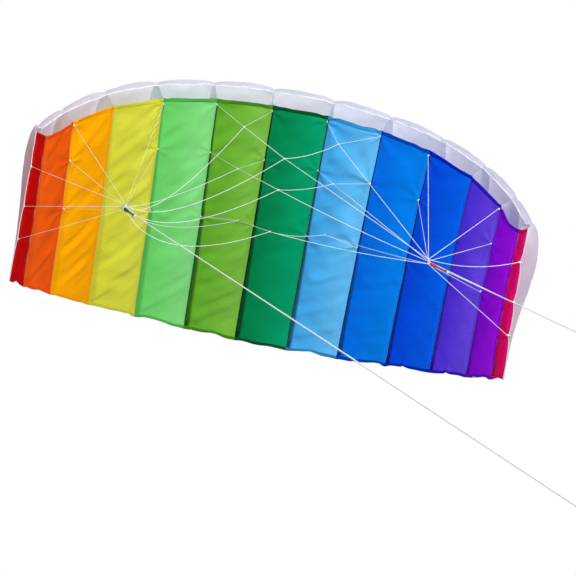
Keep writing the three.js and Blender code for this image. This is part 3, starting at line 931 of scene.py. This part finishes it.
def add_bottom_panel(cell, number):
    s, a = np.meshgrid(np.linspace(0, 1, LOW_ACROSS), np.linspace(0, 1, LOW_ALONG))
    points, _ = low_skin(cell, s, a)
    marks = {"from_left": s * cell_width(cell), "across": s, "along": a}
    slot = "cloth_" + number
    low = add_grid("low_skin_" + number, points, CLOTHS[cell], slot, flip=True, attributes=marks)
    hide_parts("bottom_panel_" + number)
    fold = edge_fold(low_skin, cell, 0, 1, middle_chord(cell))
    nose_hem = add_grid("nose_hem_" + number, fold, HEMS[cell], slot)
    fold = edge_fold(low_skin, cell, 1, -1, middle_chord(cell))
    tail_hem = add_grid("tail_hem_" + number, fold, TAIL_HEMS[cell], slot)
    add_stitches(cell)


def add_top_panel(cell, number):
    s, t = np.meshgrid(np.linspace(0, 1, TOP_ACROSS), np.linspace(0, 1, TOP_ALONG))
    points, _ = top_skin(cell, s, t)
    top = add_grid("top_skin_" + number, points, WHITE, "cloth_white")
    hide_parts("top_panel_" + number)
    fold = edge_fold(top_skin, cell, 0, 1, middle_chord(cell) * TOP_LENGTH)
    lip_hem = add_grid("lip_hem_" + number, fold, WHITE_HEM, "cloth_white", flip=True)


def add_piping(rib, side):
    """The narrow piping that is sewn along the outer edge of a tip's bottom panel."""
    along = np.linspace(0, 1, 120)
    cell, s = (0, 0.0) if rib == 0 else (CELLS - 1, 1.0)
    path = low_skin(cell, np.full_like(along, s), along, PIPING_RADIUS * 0.6)[0]
    piping = Bundle()
    piping.put(*tube(path, PIPING_RADIUS, sides=8))
    piping.piece("tip_piping_" + side, PIPING, slot="cord_white")


RIB_INSET = 0.002  # from the skins, to clear their relief
RIB_BOW = 0.0012


def add_rib(rib):
    section = Section(np.array(rib_station(rib)))
    t = np.linspace(0, 1, RIB_ALONG)
    top_at, top_out = top_edge(section, t)
    below = 0.85 * np.maximum(top_at[:, 0] / section.chord, 0) + 0.15 * t
    low_at, low_out = low_edge(section, below)
    inset = RIB_INSET * np.clip((1 - below) * section.chord / 0.03, 0, 1)[:, None]
    low_at, top_at = low_at - low_out * inset, top_at - top_out * inset * 0.8
    q = np.linspace(0, 1, RIB_UP)[None, :, None]
    at = low_at[:, None] * (1 - q) + top_at[:, None] * q
    slope = np.linspace(0, 1, RIB_UP)[None, :]
    bow = RIB_BOW * np.sin(math.pi * slope) * noise(at[..., 0] / 0.03 + rib, at[..., 1] / 0.05 + 2.0)
    points = section.place(at[..., 0], at[..., 1], bow)
    name = "end_rib_left" if rib == 0 else "end_rib_right" if rib == CELLS else f"rib_{rib:02d}"
    piece = add_grid(name.replace("rib", "rib_cloth"), points, RIB_WHITE, "cloth_white")
    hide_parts(name)


for cell in range(CELLS):
    add_bottom_panel(cell, f"{cell + 1:02d}")
    add_top_panel(cell, f"{cell + 1:02d}")
for rib, side in ((0, "left"), (CELLS, "right")):
    add_piping(rib, side)
for rib in range(CELLS + 1):
    add_rib(rib)

# ---- bridle


TAPE_BEND = 0.0009
TAPE_HALF = 0.00017  # half the tape's thickness
TAPE_SIDE = 0.003  # width of each of the tape's four sides on its UV map
TAB_KNOT = (0.0015, 0.0005)  # size and cord of the knot under a tab
JOIN_CORD = 0.0008
GATHER_CORD = 0.0007


def tab_solid(rib, along):
    """A loop of narrow tape under a rib, and the point that its line is tied to."""
    section = Section(np.array(rib_station(rib)))
    chord = float(section.chord)
    belly = -4 * BELLY * along * (1 - along) * chord
    top = belly - CLOTH / 2 - 2 * GAP
    bend = TAPE_BEND
    drop = TAB_DRAWN * TAB[2] - bend
    turn = np.linspace(0, math.pi, 9)
    aside = np.concatenate(([-0.0002, -bend * 0.8], -bend * np.cos(turn), [bend * 0.8, 0.0002]))
    down = np.concatenate(([-0.003, drop * 0.5], drop + bend * np.sin(turn), [drop * 0.5, -0.003]))
    half = TAB_DRAWN * TAB[1] / 2 * np.concatenate(([1, 0.9], 0.62 + 0 * turn, [0.9, 1]))
    verts = []
    way = unit(np.gradient(np.stack((aside, down), -1), axis=0))
    for k in range(len(aside)):
        normal = np.array((-way[k][1], way[k][0])) * TAPE_HALF
        for edge, layer in ((-1, -1), (-1, 1), (1, 1), (1, -1)):
            x, z = aside[k] + normal[0] * layer, down[k] + normal[1] * layer
            verts.append(section.place(along * chord + edge * half[k], top - z, x))
    rows = len(aside)
    faces = grid_faces(rows, 4, wrap=True).tolist()
    run = along_path(np.stack((aside, down), -1))
    uv = []
    for i in range(rows - 1):
        for j in range(4):
            near, far = j * TAPE_SIDE, (j + 1) * TAPE_SIDE
            uv += [(near, run[i]), (far, run[i]), (far, run[i + 1]), (near, run[i + 1])]
    faces += [[3, 2, 1, 0], [(rows - 1) * 4 + j for j in range(4)]]
    uv += [(0, 0), (0.001, 0), (0.001, 0.001), (0, 0.001)] * 2
    tied = section.place(along * chord, top - TAB_DRAWN * TAB[2] + LINE_RADIUS)
    return (np.array(verts), faces, uv), tied


def add_bridle(side, row):
    """One row of one side's bridle, as the CAD part ties it."""
    tow = np.array(TOW[side])
    tabs, lines = Bundle(), Bundle()

    def tab(from_tip):
        rib = from_tip if side == "left" else CELLS - from_tip
        solid, end = tab_solid(rib, (TIP_TAB_ROWS if from_tip == 0 else TAB_ROWS)[row])
        tabs.put(*solid)
        lines.put(*knot(end - np.array((0, 0, 0.0004)), (0, 1, 0), *TAB_KNOT, points=36))
        return end

    direct = [tab(rib) for rib in DIRECT_RIBS]
    crossed = [tab(rib) for rib in CROSS_RIBS]
    cross, centre = np.array(CROSS_KNOT[side][row]), np.array(CENTRE_KNOT[row])
    up = unit(np.mean([*direct, cross, centre], axis=0) - tow)
    gather = tow + up * GATHER
    cross_sag, centre_sag, tip_sag, span_sag = SLACK[side][row]
    skew = SLACK_SKEW[side]

    def line(start, end, sag=0.0, skew=0.0, drawn=SLACK_DRAWN):
        lines.put(*tube(sagging(start, end, sag, skew), LINE_RADIUS * drawn, sides=8))

    for k, end in enumerate(direct):
        line(end, gather, tip_sag if k == 0 else 0.0, drawn=LINE_DRAWN[side])
    for end in crossed:
        line(end, cross, drawn=CROSSED_DRAWN)
    line(cross, gather, cross_sag, skew)
    line(cross, centre, span_sag)
    line(centre, gather, centre_sag, skew)
    line(gather, tow + up * TOW_KNOT_RADIUS * 0.8)
    lines.put(*knot(cross, gather - cross, JOIN_RADIUS, JOIN_CORD))
    lines.put(*knot(gather, up, GATHER_RADIUS * 1.2, GATHER_CORD))
    if side == "left":
        lines.put(*knot(centre, (1, 0, 0), JOIN_RADIUS, JOIN_CORD))
    piece = lines.piece(f"bridle_lines_{side}_{row}", CORD, slot="cord_white")
    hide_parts(f"bridle_{side}_{row}")
    tabs.piece(f"bridle_tabs_{side}_{row}", TAPE, slot="cord_white")


for side in ("left", "right"):
    for row in ("front", "middle", "rear"):
        add_bridle(side, row)

# ---- floor and light
FLOOR_DROP = 7.0
FLOOR_RADIUS = 60
FLOOR_CORNERS = 64


def add_floor():
    n = Nodes("floor_paint")
    uv = n.add("TexCoord").outputs["Object"]
    grain = n.add("TexNoise", {"Vector": uv, "Scale": 0.5, "Detail": 2.0}).outputs[0]
    tone = n.mix(n.ramp(grain, 0.3, 0.7), (0.6, 0.6, 0.61, 1), (0.62, 0.62, 0.63, 1))
    paint = n.add("BsdfPrincipled", {"Base Color": tone, "Roughness": 0.9})
    n.add("OutputMaterial", {"Surface": paint.outputs[0]})
    mesh = bpy.data.meshes.new("floor")
    turn = 2 * math.pi * np.arange(FLOOR_CORNERS) / FLOOR_CORNERS
    rim = [(FLOOR_RADIUS * math.cos(t), FLOOR_RADIUS * math.sin(t), -FLOOR_DROP) for t in turn]
    mesh.from_pydata(rim, [], [list(range(FLOOR_CORNERS))])
    mesh.materials.append(n.material)
    floor = bpy.data.objects.new("floor", mesh)
    bpy.context.scene.collection.objects.link(floor)


def add_light(name, place, aim, size, power):
    data = bpy.data.lights.new(name, "AREA")
    data.shape = "DISK"
    data.size = size
    data.energy = power
    lamp = bpy.data.objects.new(name, data)
    way = Vector(aim) - Vector(place)
    lamp.matrix_world = Matrix.Translation(place) @ way.to_track_quat("-Z", "Y").to_matrix().to_4x4()
    lamp.visible_camera = False
    bpy.context.scene.collection.objects.link(lamp)


def add_world():
    """A white studio that is brighter overhead."""
    world = bpy.data.worlds.new("studio")
    world.use_nodes = True
    sky = world.node_tree.nodes
    background = sky["Background"]
    parts = sky.new("ShaderNodeSeparateXYZ")
    height = sky.new("ShaderNodeMapRange")
    height.interpolation_type = "SMOOTHSTEP"
    for key, value in (("From Min", 0.3), ("From Max", 0.72), ("To Min", 0.3), ("To Max", 1.0)):
        height.inputs[key].default_value = value
    world.node_tree.links.new(sky.new("ShaderNodeTexCoord").outputs["Generated"], parts.inputs[0])
    world.node_tree.links.new(parts.outputs[2], height.inputs["Value"])
    world.node_tree.links.new(height.outputs[0], background.inputs["Strength"])
    background.inputs["Color"].default_value = (1, 1, 1, 1)
    bpy.context.scene.world = world


add_floor()
add_world()
add_light("key", (0.6, -4.6, -2.6), (0, 0, -0.1), 0.9, 210)
add_light("side", (2.4, -1.2, -4.2), (0, 0, -0.1), 1.2, 90)
add_light("top", (-0.8, -1.2, 4.0), (0, 0, 0), 3.0, 150)
bpy.context.scene.view_settings.view_transform = "Standard"
